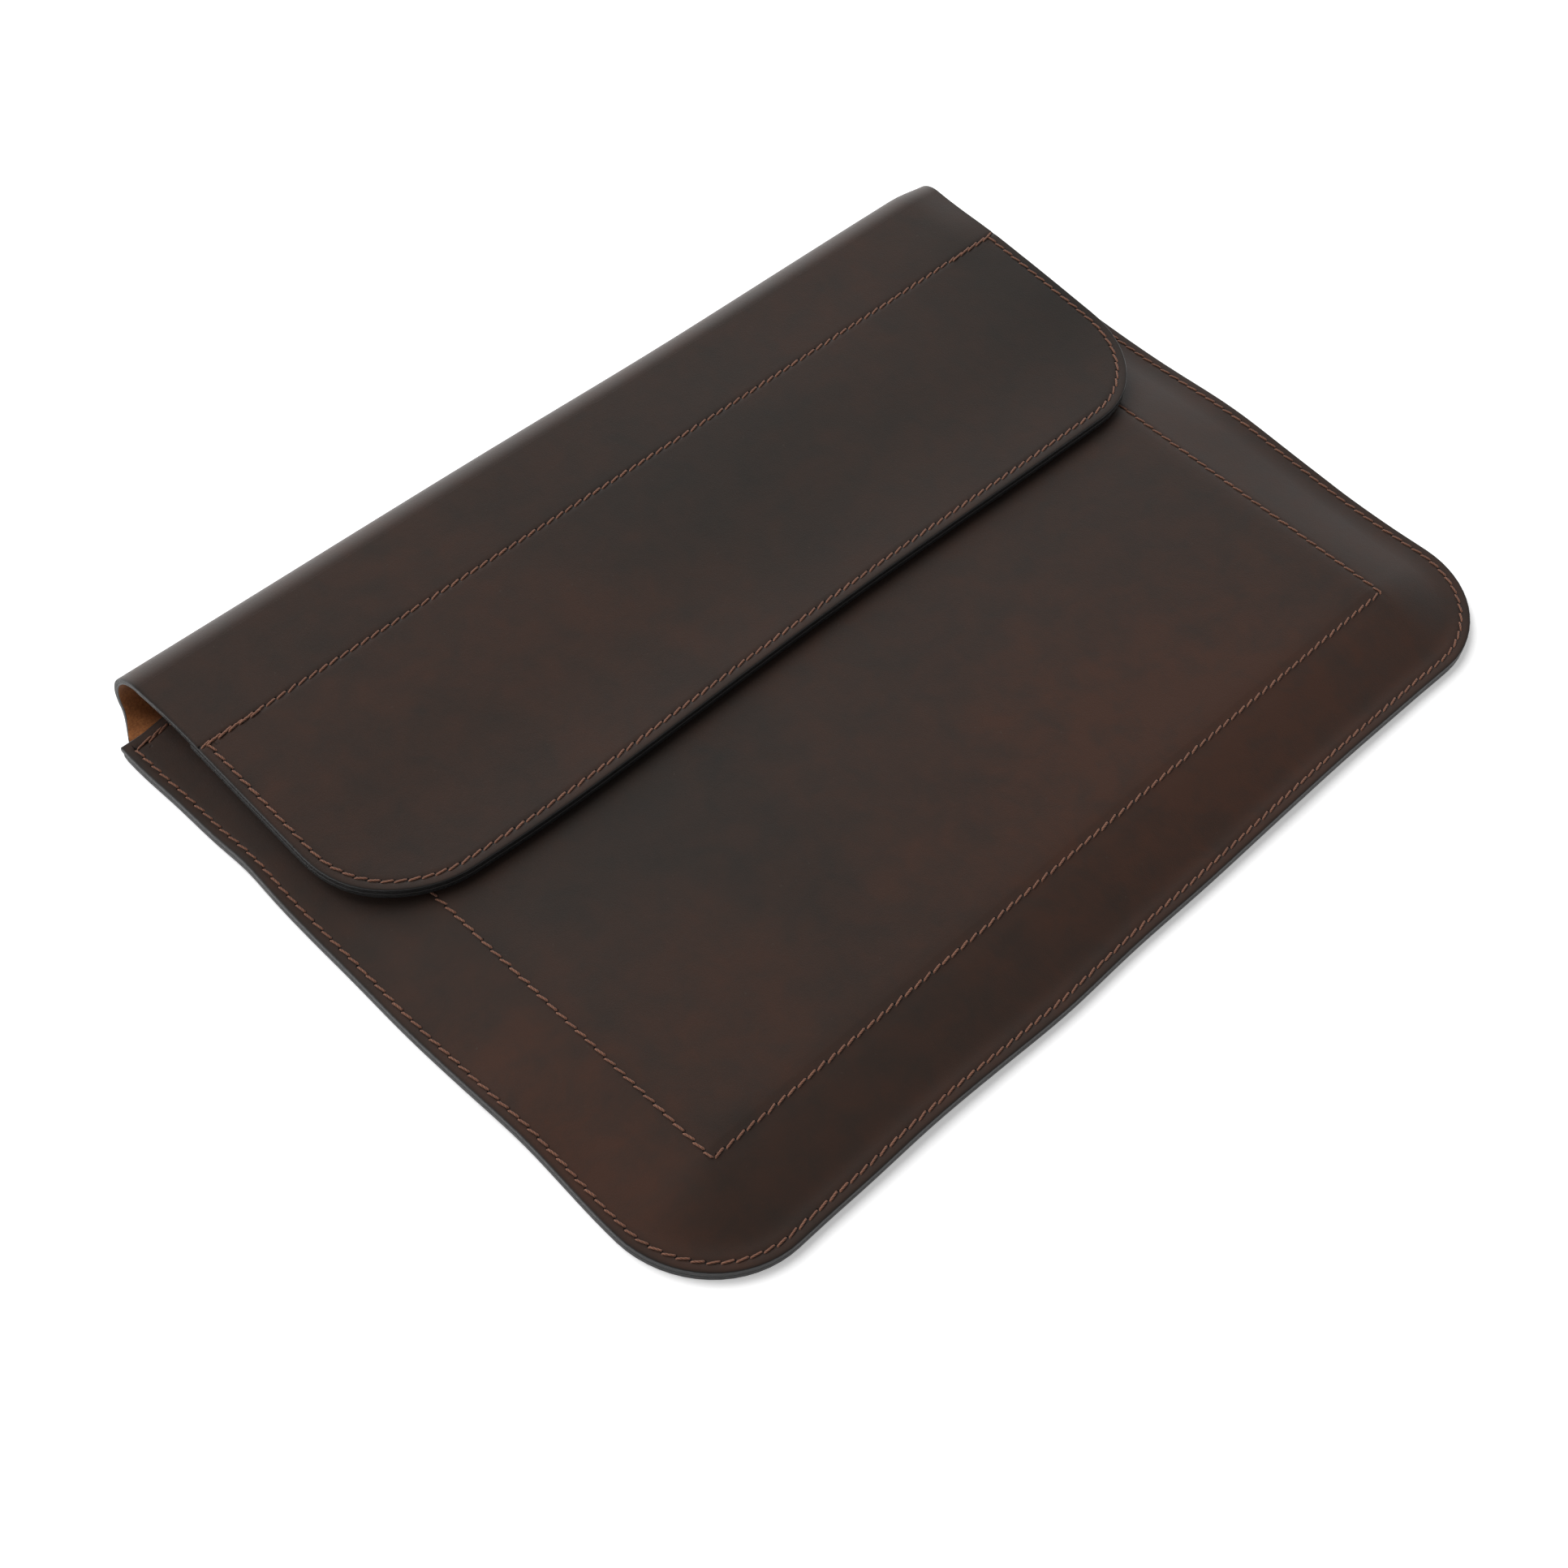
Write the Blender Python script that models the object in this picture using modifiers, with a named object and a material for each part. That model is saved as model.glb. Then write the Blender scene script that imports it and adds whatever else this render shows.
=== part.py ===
"""Leather laptop sleeve with a fold-over flap, lying closed on its back panel.

X runs along the sleeve's long side, +Y points to the bend and +Z is up.  The origin is on the ground, under the
middle of the closed sleeve.  One outer leather makes the back panel, the bend and the flap.  The bend is divided
into straight strips, each hinged to the next on the leather's middle surface, so that it unrolls flat.
"""
import math

import bmesh
import bpy

MM = 0.001

# Leather layers
LEATHER = 1.8 * MM              # thickness of an outer leather layer
LINING = 0.8 * MM               # thickness of the lining behind the front panel
LAYER_GAP = 0.3 * MM            # air between two layers

# Body: the back and front panels, sewn together along three sides
HALF_WIDTH = 172.9 * MM
BODY_DEPTH = 235.7 * MM         # bottom edge to mouth
CLOSED_DEPTH = 248.6 * MM       # bottom edge to the back of the bend
CORNER_RADIUS = 32.4 * MM
EDGE_BAND = 5.5 * MM            # width of the sewn band, where the two panels lie together
LINING_INSET = 27.0 * MM        # perimeter to the lining's edge, where the front panel's slope ends
LINING_SEAM_INSET = 30.0 * MM
FRONT_RISE = 5.4 * MM           # height gained between the sewn band and the lining's edge
SLOPE_STEPS = 5

# Bend
BEND_RADIUS = 10.4 * MM         # outer radius
FLAP_SLOPE = math.radians(3.7)  # the flap runs down from the bend to the front panel
HINGE_COUNT = 6
STRIP_GAP = 0.8 * MM            # slit between two strips, on the leather's middle surface
SHOULDER_HALF_WIDTH = 170.0 * MM
NECK_HALF_WIDTH = 167.0 * MM

# Flap
FLAP_HALF_WIDTH = 163.5 * MM
FLAP_LENGTH = 106.5 * MM        # last hinge to the front edge
FLAP_CORNER_RADIUS = 33.0 * MM
FACING_START = 26.0 * MM        # last hinge to the facing's rear edge

# Seams
THREAD_RADIUS = 0.2 * MM
THREAD_GAP = 0.2 * MM            # air between a thread and the leather under it
SEAM_INSET = 3.0 * MM           # edge to seam
MOUTH_SEAM_INSET = 3.4 * MM

# Hidden magnets that hold the flap closed
MAGNET_RADIUS = 6.0 * MM
MAGNET_THICKNESS = 0.8 * MM
MAGNET_X = 110.0 * MM
MAGNET_FROM_FLAP_EDGE = 14.0 * MM
RECESS_DEPTH = 1.2 * MM
RECESS_CLEARANCE = 0.3 * MM
MAGNET_FROM_FACE = 0.1 * MM     # the magnet lies this far inside the mouth of its recess

ARC_STEPS = 9
MAGNET_SIDES = 24

# Worked out from the dimensions above
BOTTOM_Y = -CLOSED_DEPTH / 2
MOUTH_Y = BOTTOM_Y + BODY_DEPTH
FOLD_ANGLE = (math.pi + FLAP_SLOPE) / HINGE_COUNT
MIDDLE_RADIUS = BEND_RADIUS - LEATHER / 2
STRIP_LENGTH = 2 * MIDDLE_RADIUS * math.tan(FOLD_ANGLE / 2)
BEND_Y = CLOSED_DEPTH / 2 - BEND_RADIUS
FIRST_HINGE_Y = BEND_Y + STRIP_LENGTH / 2
FRONT_UNDERSIDE = LEATHER + LAYER_GAP
PLATEAU_UNDERSIDE = FRONT_UNDERSIDE + FRONT_RISE


def make_material(name, color, roughness, metallic=0.0):
    material = bpy.data.materials.new(name)
    material.use_nodes = True
    shader = material.node_tree.nodes["Principled BSDF"]
    shader.inputs["Base Color"].default_value = (*color, 1.0)
    shader.inputs["Roughness"].default_value = roughness
    shader.inputs["Metallic"].default_value = metallic
    return material


def add_object(name, data, collection, material=None, parent=None, location=(0, 0, 0)):
    obj = bpy.data.objects.new(name, data)
    collection.objects.link(obj)
    obj.parent = parent
    obj.location = location
    if material:
        data.materials.append(material)
    return obj


def arc(center_x, center_y, radius, start_degrees, end_degrees):
    """Points of an arc, both ends included."""
    points = []
    for step in range(ARC_STEPS + 1):
        angle = math.radians(start_degrees + (end_degrees - start_degrees) * step / ARC_STEPS)
        points.append((center_x + radius * math.cos(angle), center_y + radius * math.sin(angle)))
    return points


def body_path(inset):
    """The body's left side, bottom and right side, a distance inside its edge, from mouth to mouth."""
    half_width = HALF_WIDTH - inset
    radius = max(CORNER_RADIUS - inset, 1.0 * MM)
    corner_x = half_width - radius
    corner_y = BOTTOM_Y + inset + radius
    corners = arc(-corner_x, corner_y, radius, 180, 270) + arc(corner_x, corner_y, radius, 270, 360)
    return [(-half_width, MOUTH_Y)] + corners + [(half_width, MOUTH_Y)]


def flap_path(inset, start):
    """The flap's outline a distance inside its edge, from its left side round the front to its right side."""
    half_width = FLAP_HALF_WIDTH - inset
    radius = FLAP_CORNER_RADIUS - inset
    corner_x = half_width - radius
    corner_y = FLAP_LENGTH - inset - radius
    corners = arc(-corner_x, corner_y, radius, 180, 90) + arc(corner_x, corner_y, radius, 90, 0)
    return [(-half_width, start)] + corners + [(half_width, start)]


def front_height(inset):
    """Height of the front panel's underside at a distance inside the perimeter."""
    share = min(max((inset - EDGE_BAND) / (LINING_INSET - EDGE_BAND), 0.0), 1.0)
    return FRONT_UNDERSIDE + FRONT_RISE * share * share * (3 - 2 * share)


def slope_insets():
    """Distances inside the perimeter at which the front panel's slope has a fold line."""
    width = LINING_INSET - EDGE_BAND
    return [EDGE_BAND + width * step / SLOPE_STEPS for step in range(SLOPE_STEPS + 1)]


def add_sheet(name, outline, thickness, collection, material, parent=None, middle_height=0.0):
    """A flat layer cut to an outline, centred on a height."""
    curve = bpy.data.curves.new(name, "CURVE")
    curve.dimensions = "2D"
    curve.fill_mode = "BOTH"
    curve.extrude = thickness / 2
    spline = curve.splines.new("POLY")
    spline.points.add(len(outline) - 1)
    for point, (x, y) in zip(spline.points, outline):
        point.co = (x, y, 0, 1)
    spline.use_cyclic_u = True
    return add_object(name, curve, collection, material, parent, (0, 0, middle_height))


def add_thread(name, points, collection, material, parent=None):
    """A seam's thread as one thin tube through points."""
    curve = bpy.data.curves.new(name, "CURVE")
    curve.dimensions = "3D"
    curve.bevel_depth = THREAD_RADIUS
    curve.bevel_resolution = 2
    curve.use_fill_caps = True
    spline = curve.splines.new("POLY")
    spline.points.add(len(points) - 1)
    for point, position in zip(spline.points, points):
        point.co = (*position, 1)
    return add_object(name, curve, collection, material, parent)


def add_disc(name, radius, thickness, location, collection, material=None, parent=None):
    mesh = bpy.data.meshes.new(name)
    disc = bmesh.new()
    bmesh.ops.create_cone(disc, cap_ends=True, segments=MAGNET_SIDES, radius1=radius, radius2=radius,
                          depth=thickness)
    disc.to_mesh(mesh)
    disc.free()
    return add_object(name, mesh, collection, material, parent, location)


def mesh_from_curve(obj):
    """Replaces a curve object by the mesh it shows, with its caps welded."""
    depsgraph = bpy.context.evaluated_depsgraph_get()
    mesh = bpy.data.meshes.new_from_object(obj.evaluated_get(depsgraph))
    welded = bmesh.new()
    welded.from_mesh(mesh)
    bmesh.ops.remove_doubles(welded, verts=welded.verts, dist=0.001 * MM)
    bmesh.ops.recalc_face_normals(welded, faces=welded.faces)
    welded.to_mesh(mesh)
    welded.free()
    name, parent, location = obj.name, obj.parent, tuple(obj.location)
    collection = obj.users_collection[0]
    bpy.data.objects.remove(obj)
    return add_object(name, mesh, collection, None, parent, location)


def cut_recess(obj, location, parts_parent, cutters):
    """A round recess for a magnet, centred on a point of the mating face."""
    cutter = add_disc(f"{obj.name}_recess", MAGNET_RADIUS + RECESS_CLEARANCE, 2 * RECESS_DEPTH, location,
                      cutters, None, parts_parent)
    cutter.hide_render = True
    cutter.display_type = "WIRE"
    recess = obj.modifiers.new("magnet recess", "BOOLEAN")
    recess.operation = "DIFFERENCE"
    recess.object = cutter


def add_back_panel(parts, leather):
    """The back leather, out to the first hinge of the bend."""
    neck_y = FIRST_HINGE_Y - STRIP_GAP / 2
    neck = [(SHOULDER_HALF_WIDTH, MOUTH_Y), (NECK_HALF_WIDTH, neck_y),
            (-NECK_HALF_WIDTH, neck_y), (-SHOULDER_HALF_WIDTH, MOUTH_Y)]
    add_sheet("back_panel", body_path(0.0) + neck, LEATHER, parts, leather, None, LEATHER / 2)


def add_front_panel(parts, cutters, leather, magnet_y):
    """The front leather: a sewn band round three sides, a slope up from it, and a flat middle."""
    surface = bmesh.new()
    rings = []
    for inset in [0.0] + slope_insets():
        height = front_height(inset)
        rings.append([surface.verts.new((x, y, height)) for x, y in body_path(inset)])
    for outer, inner in zip(rings, rings[1:]):
        for here in range(len(outer) - 1):
            surface.faces.new((outer[here], outer[here + 1], inner[here + 1], inner[here]))
    surface.faces.new(rings[-1])
    mesh = bpy.data.meshes.new("front_panel")
    surface.to_mesh(mesh)
    surface.free()
    panel = add_object("front_panel", mesh, parts, leather)
    thickness = panel.modifiers.new("leather thickness", "SOLIDIFY")
    thickness.thickness = LEATHER
    thickness.offset = 1.0
    for side in (-1, 1):
        cut_recess(panel, (side * MAGNET_X, magnet_y, PLATEAU_UNDERSIDE), None, cutters)


def add_front_lining(parts, material):
    """The lining sewn behind the front panel's flat middle."""
    middle_height = PLATEAU_UNDERSIDE - LAYER_GAP - LINING / 2
    add_sheet("front_lining", body_path(LINING_INSET), LINING, parts, material, None, middle_height)


def add_hinge(name, parts, parent, location):
    """An empty on a hinge's axis, which turns what follows by one fold."""
    hinge = add_object(name, None, parts, None, parent, location)
    hinge.rotation_euler = (FOLD_ANGLE, 0, 0)
    return hinge


def add_bend(parts, leather):
    """The strips between the back panel and the flap; returns the flap's hinge."""
    hinge = add_hinge("bend_hinge_1", parts, None, (0, FIRST_HINGE_Y, LEATHER / 2))
    for number in range(1, HINGE_COUNT):
        share = number / HINGE_COUNT
        half_width = NECK_HALF_WIDTH + (FLAP_HALF_WIDTH - NECK_HALF_WIDTH) * share
        near, far = STRIP_GAP / 2, STRIP_LENGTH - STRIP_GAP / 2
        outline = [(-half_width, near), (half_width, near), (half_width, far), (-half_width, far)]
        add_sheet(f"bend_strip_{number}", outline, LEATHER, parts, leather, hinge)
        hinge = add_hinge(f"bend_hinge_{number + 1}", parts, hinge, (0, STRIP_LENGTH, 0))
    return hinge


def add_flap(parts, cutters, leather, facing_leather, hinge, magnet_y):
    """The flap's outer leather and the facing sewn to its inner side."""
    add_sheet("flap_panel", flap_path(0.0, STRIP_GAP / 2), LEATHER, parts, leather, hinge)
    facing_height = LEATHER + LAYER_GAP
    sheet = add_sheet("flap_facing", flap_path(0.0, FACING_START), LEATHER, parts, None, hinge,
                      facing_height)
    facing = mesh_from_curve(sheet)
    facing.data.materials.append(facing_leather)
    for side in (-1, 1):
        cut_recess(facing, (side * MAGNET_X, magnet_y, facing_height - LEATHER / 2), hinge, cutters)


def add_magnets(parts, steel, front_y, hinge, flap_y):
    """Two magnets behind the front panel and two behind the flap's outer leather."""
    from_face = MAGNET_FROM_FACE + MAGNET_THICKNESS / 2
    front_height_of_magnet = PLATEAU_UNDERSIDE + from_face
    flap_height_of_magnet = LEATHER / 2 + LAYER_GAP + from_face
    for side, word in ((-1, "left"), (1, "right")):
        add_disc(f"front_magnet_{word}", MAGNET_RADIUS, MAGNET_THICKNESS,
                 (side * MAGNET_X, front_y, front_height_of_magnet), parts, steel)
        add_disc(f"flap_magnet_{word}", MAGNET_RADIUS, MAGNET_THICKNESS,
                 (side * MAGNET_X, flap_y, flap_height_of_magnet), parts, steel, hinge)


def add_body_threads(parts, thread):
    """The seam round the body and along its mouth, and the seam that holds the lining."""
    lift = LEATHER + THREAD_GAP + THREAD_RADIUS
    seam_y = MOUTH_Y - MOUTH_SEAM_INSET
    sides = [(x, min(y, seam_y), front_height(SEAM_INSET) + lift) for x, y in body_path(SEAM_INSET)]
    rise = [(HALF_WIDTH - inset, seam_y, front_height(inset) + lift) for inset in slope_insets()]
    fall = [(-x, y, z) for x, y, z in reversed(rise)]
    add_thread("perimeter_thread", sides + rise + fall, parts, thread)

    half_width = HALF_WIDTH - LINING_SEAM_INSET
    bottom = BOTTOM_Y + LINING_SEAM_INSET
    top = seam_y - 2 * THREAD_RADIUS - THREAD_GAP
    height = PLATEAU_UNDERSIDE + lift
    corners = [(-half_width, top), (-half_width, bottom), (half_width, bottom), (half_width, top)]
    add_thread("lining_thread", [(x, y, height) for x, y in corners], parts, thread)


def add_flap_thread(parts, thread, hinge):
    """The seam round the flap, with the straight row across its rear that closes the facing."""
    height = -(LEATHER / 2 + THREAD_GAP + THREAD_RADIUS)
    start = FACING_START + SEAM_INSET
    path = flap_path(SEAM_INSET, start)
    row_end = (-FLAP_HALF_WIDTH + 2 * SEAM_INSET, start)
    add_thread("flap_thread", [(x, y, height) for x, y in path + [row_end]], parts, thread, hinge)


def main():
    for obj in list(bpy.data.objects):
        bpy.data.objects.remove(obj)
    parts = bpy.data.collections.new("laptop_sleeve")
    cutters = bpy.data.collections.new("cutters")
    bpy.context.scene.collection.children.link(parts)
    bpy.context.scene.collection.children.link(cutters)

    leather = make_material("brown leather", (0.042, 0.032, 0.027), 0.5)
    facing_leather = make_material("facing leather", (0.045, 0.030, 0.022), 0.6)
    lining = make_material("lining", (0.21, 0.10, 0.045), 0.9)
    thread = make_material("waxed thread", (0.12, 0.045, 0.025), 0.7)
    steel = make_material("plated magnet", (0.55, 0.55, 0.55), 0.3, 1.0)

    add_back_panel(parts, leather)
    hinge = add_bend(parts, leather)
    hinge_angle = FOLD_ANGLE * (HINGE_COUNT - 0.5)
    last_hinge_y = BEND_Y + MIDDLE_RADIUS / math.cos(FOLD_ANGLE / 2) * math.sin(hinge_angle)
    flap_magnet_y = FLAP_LENGTH - MAGNET_FROM_FLAP_EDGE
    front_magnet_y = last_hinge_y - flap_magnet_y * math.cos(FLAP_SLOPE)
    add_flap(parts, cutters, leather, facing_leather, hinge, flap_magnet_y)
    add_front_panel(parts, cutters, leather, front_magnet_y)
    add_front_lining(parts, lining)
    add_magnets(parts, steel, front_magnet_y, hinge, flap_magnet_y)
    add_body_threads(parts, thread)
    add_flap_thread(parts, thread, hinge)


main()
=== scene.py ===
import math

import bpy
import numpy as np
from mathutils import Matrix, Vector


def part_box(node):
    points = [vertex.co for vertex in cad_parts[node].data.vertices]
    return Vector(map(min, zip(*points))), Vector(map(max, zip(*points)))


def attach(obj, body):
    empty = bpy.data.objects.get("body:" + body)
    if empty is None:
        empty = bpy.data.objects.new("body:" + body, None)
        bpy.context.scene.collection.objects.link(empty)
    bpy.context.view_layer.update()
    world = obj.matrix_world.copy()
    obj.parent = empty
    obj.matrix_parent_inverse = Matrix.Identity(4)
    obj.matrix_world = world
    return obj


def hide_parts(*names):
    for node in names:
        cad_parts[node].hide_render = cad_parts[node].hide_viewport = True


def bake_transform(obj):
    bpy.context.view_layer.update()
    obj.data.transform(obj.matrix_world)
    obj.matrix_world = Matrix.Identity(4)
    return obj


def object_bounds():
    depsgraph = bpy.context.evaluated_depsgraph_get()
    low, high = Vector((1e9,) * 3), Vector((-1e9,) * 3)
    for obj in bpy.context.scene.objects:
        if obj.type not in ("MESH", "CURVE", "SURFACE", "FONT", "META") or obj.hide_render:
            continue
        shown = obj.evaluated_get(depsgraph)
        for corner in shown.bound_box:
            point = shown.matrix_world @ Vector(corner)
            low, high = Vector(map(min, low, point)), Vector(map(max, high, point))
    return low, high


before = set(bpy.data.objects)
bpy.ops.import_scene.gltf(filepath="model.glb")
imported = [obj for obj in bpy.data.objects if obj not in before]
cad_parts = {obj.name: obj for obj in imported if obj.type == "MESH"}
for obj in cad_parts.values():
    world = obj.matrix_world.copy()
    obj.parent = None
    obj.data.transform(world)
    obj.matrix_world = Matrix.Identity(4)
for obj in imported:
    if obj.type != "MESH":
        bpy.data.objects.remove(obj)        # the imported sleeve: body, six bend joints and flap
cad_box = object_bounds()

# Lengths in this file are in millimetres, and become metres when a mesh is made.
MM = 0.001


def cad(node, corner, axis):
    """One coordinate of a CAD node's box: corner 0 is the lowest, 1 the highest."""
    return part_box(node)[corner][axis] / MM


# ================================================================ dimensions
HALF_WIDTH = cad("back_panel", 1, 0)
BOTTOM_Y = cad("back_panel", 0, 1)
MOUTH_Y = cad("front_panel", 1, 1)
FLAP_FRONT_Y = cad("flap_panel", 0, 1)
REAR_Y = cad_box[1].y / MM
CORNER_RADIUS = 32.4
FLAP_RADIUS = 33.0

LEATHER = 1.95                  # one layer
LINING = 0.8
LAYER_GAP = 0.05
PLATEAU_TOP = 9.0               # the front panel's flat middle
MARGIN = 4.6                    # the flat sewn margin round the front panel
SLOPE_END = 35.0                # where the slope from the margin reaches the flat middle

BEND_RADIUS = 10.35             # to the outside of the leather
BEND_MIDDLE = BEND_RADIUS - LEATHER / 2
BEND_Y = REAR_Y - BEND_RADIUS
HINGES = 6
FOLD = (math.pi + math.radians(3.7)) / HINGES
BEND_ANGLE = math.pi + math.radians(4.9)
LANDING = math.radians(4.3)     # the flap flattens by this much where it lies on the front

SEAM_INSET = 2.95
MOUTH_SEAM = 3.4
LINING_SEAM_SIDE = 30.05
LINING_SEAM_BOTTOM = 30.1
FLAP_SEAM = 3.1
FACING_FROM_MOUTH = 20.9        # the facing under the flap ends this far in front of the mouth
CROSS_SEAM = 3.5
STITCH = 3.7
LINING_INSET = 27.5             # from the body's sides and bottom
LINING_FROM_MOUTH = 1.0

MAGNET_X = 110.0                # to either side
MAGNET_FROM_FRONT = 14.0        # from the flap's front edge
MAGNET_RADIUS = 6.0
MAGNET_THICKNESS = 0.8

# Where each layer and each outside face is in the field that the grain is drawn in, so that no two match
FRONT_LAYER, FACING_LAYER, LINING_LAYER = 1000.0, 2000.0, 3000.0
OUTSIDE_LEVEL = 300.0

RING_INSETS = (5.0, 4.3, 3.75, 3.35, 2.95, 2.55, 2.1, 1.5, 0.95, 0.42, 0.26, 0.13, 0.04, 0.0)
INNER = RING_INSETS[0]


def smooth(low, high, value):
    share = np.clip((value - low) / (high - low), 0.0, 1.0)
    return share * share * (3 - 2 * share)


def bell(value, centre, width):
    return np.exp(-(((value - centre) / width) ** 2))


# ================================================================ the shape of the leather
S_MOUTH = MOUTH_Y - BOTTOM_Y
S_BEND = BEND_Y - BOTTOM_Y
S_HINGED = S_BEND + BEND_MIDDLE * FOLD * HINGES
S_ARC = S_BEND + BEND_MIDDLE * BEND_ANGLE


def make_section():
    """The middle line of the outer leather, from the bottom edge over the bend to the flap's front."""
    step = 0.25
    s = np.arange(0.0, S_ARC + 125, step)
    turn = np.clip((s - S_BEND) / BEND_MIDDLE, 0, BEND_ANGLE)
    turn = turn - LANDING * smooth(S_ARC + 60, S_ARC + 104, s)
    middle = (turn[1:] + turn[:-1]) / 2
    y = BOTTOM_Y + np.concatenate([[0], np.cumsum(np.cos(middle))]) * step
    z = LEATHER / 2 + np.concatenate([[0], np.cumsum(np.sin(middle))]) * step
    return s, y, z, turn


SECTION = make_section()


def flap_s(y):
    """Length along the leather at which the flap passes over y."""
    s, section_y = SECTION[0], SECTION[1]
    flap = s > S_ARC
    return float(np.interp(-y, -section_y[flap], s[flap]))


S_FRONT = flap_s(FLAP_FRONT_Y)
S_FACING = flap_s(MOUTH_Y - FACING_FROM_MOUTH)
S_CROSS = flap_s(MOUTH_Y - FACING_FROM_MOUTH - CROSS_SEAM)


def half_width(s):
    """Half the outer leather's width along its length: body, small shoulder, neck, flap."""
    s = np.asarray(s, float)
    shoulder = 2.5 * smooth(S_MOUTH - 0.5, S_MOUTH + 0.8, s)
    neck = 5.2 * smooth(S_MOUTH - 2.5, S_MOUTH + 12, s)
    taper = 1.8 * smooth(S_BEND + 8, S_ARC + 20, s)
    return HALF_WIDTH - shoulder - neck - taper


def body_inset(x, s):
    """Distance inside the body's rounded outline, from its two sides and its bottom."""
    across = np.abs(x) - (HALF_WIDTH - CORNER_RADIUS)
    down = CORNER_RADIUS - s
    corner = np.hypot(np.maximum(across, 0), np.maximum(down, 0))
    return CORNER_RADIUS - np.where((across > 0) & (down > 0), corner, np.maximum(across, down))


def slope_profile(inset):
    """From 0 at the sewn margin to 1 at the flat middle: steepest near the margin, then easing off."""
    t = np.linspace(0, 1, 201)
    steepness = smooth(0, 0.18, t) * (1 - t)**0.5
    height = np.cumsum(steepness) / steepness.sum()
    return np.interp(inset, MARGIN + (SLOPE_END - MARGIN) * t, height)


def bumps(value, *each):
    """A sum of soft bumps, each given as height, centre and width."""
    return sum(height * bell(value, centre, width) for height, centre, width in each)


def body_wander(x, s):
    """How far the body's edges wander in plan and stand off the table: x, y and z."""
    near_side = 1 - smooth(2, 28, HALF_WIDTH - np.abs(x))
    near_bottom = 1 - smooth(2, 28, s)
    left = bumps(s, (0.45, 36, 14), (-0.55, 68, 15), (0.7, 114, 22), (0.3, 152, 18), (-0.7, 182, 10),
                 (0.75, 228, 13))
    right = bumps(s, (-1.0, 54, 20), (1.6, 112, 23), (0.5, 190, 20))
    dx = np.where(x < 0, -left, 0.55 * right) * near_side
    dy = -near_bottom * bumps(x, (-0.3, -130, 15), (-0.6, -92, 22), (0.95, -38, 22), (0.4, 22, 26),
                              (-0.25, 90, 22), (0.3, 140, 12))
    lift = np.where(x < 0, bumps(s, (0.5, 75, 18), (0.6, 175, 16)), 0.5 + 0.65 * right) * near_side
    lift = lift * (1 - smooth(S_BEND - 30, S_BEND, s))      # only the body stands off the table
    lift = lift + near_bottom * bumps(x, (0.5, -90, 30), (0.45, 70, 35)) * (1 - near_side)
    sewn = smooth(0, 30, S_MOUTH - s)
    return dx, dy, np.maximum(lift, 0) * sewn


def arrays(*values):
    return np.broadcast_arrays(*[np.asarray(v, float) for v in values])


def outer_leather(x, s, height):
    """A point of the one long piece: across, along, and height over its middle towards the inside."""
    x, s, height = arrays(x, s, height)
    # the bend is not quite round and its right end draws in. This goes through the leather's own
    # thickness, not straight down, so that the bend still unrolls flat and its pieces still meet
    over = smooth(S_BEND + 4, S_BEND + 22, s)
    slack = bumps(x, (-0.10, -172, 30), (0.85, 45, 60)) + 0.15 * smooth(60, 120, x)
    drawn_in = 1.8 * smooth(150, 170, x) * (1 - smooth(S_ARC - 4, S_ARC + 34, s))
    height = height + over * (slack * (1 - smooth(S_ARC - 6, S_ARC + 45, s)) + drawn_in)
    turn = np.interp(s, SECTION[0], SECTION[3])
    y = np.interp(s, SECTION[0], SECTION[1]) - height * np.sin(turn)
    z = np.interp(s, SECTION[0], SECTION[2]) + height * np.cos(turn)
    bulge = 0.6 * bell(s, S_ARC + 46, 28) + 0.4 * bell(s, S_ARC + 19, 13)      # in front of the bend
    z = z + smooth(112, 166, x) * bulge
    dx, dy, dz = body_wander(x, s)
    # the flap's outline wanders too
    front = 1 - smooth(0, 26, S_FRONT - s)
    dy = dy * (s < S_MOUTH) + front * (0.7 * np.sin(x / 38.0 + 1.3) + 1.8 * bell(x, -150, 34))
    return np.stack([x + dx, y + dy, z + dz], -1)


def flap_facing(x, s, height):
    """A point of the second layer under the flap."""
    return outer_leather(x, s, np.asarray(height) + LEATHER + LAYER_GAP)


def front_leather(x, s, height):
    """A point of the front panel."""
    x, s, height = arrays(x, s, height)
    rise = PLATEAU_TOP - 2 * LEATHER - LAYER_GAP
    z = LEATHER * 1.5 + LAYER_GAP + rise * slope_profile(body_inset(x, s)) + height
    dx, dy, dz = body_wander(x, s)
    return np.stack([x + dx, BOTTOM_Y + s + dy, z + dz], -1)


def lining(x, s, height):
    """A point of the lining glued under the front panel."""
    return front_leather(x, s, np.asarray(height) - (LEATHER + LINING) / 2 - LAYER_GAP)


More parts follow.
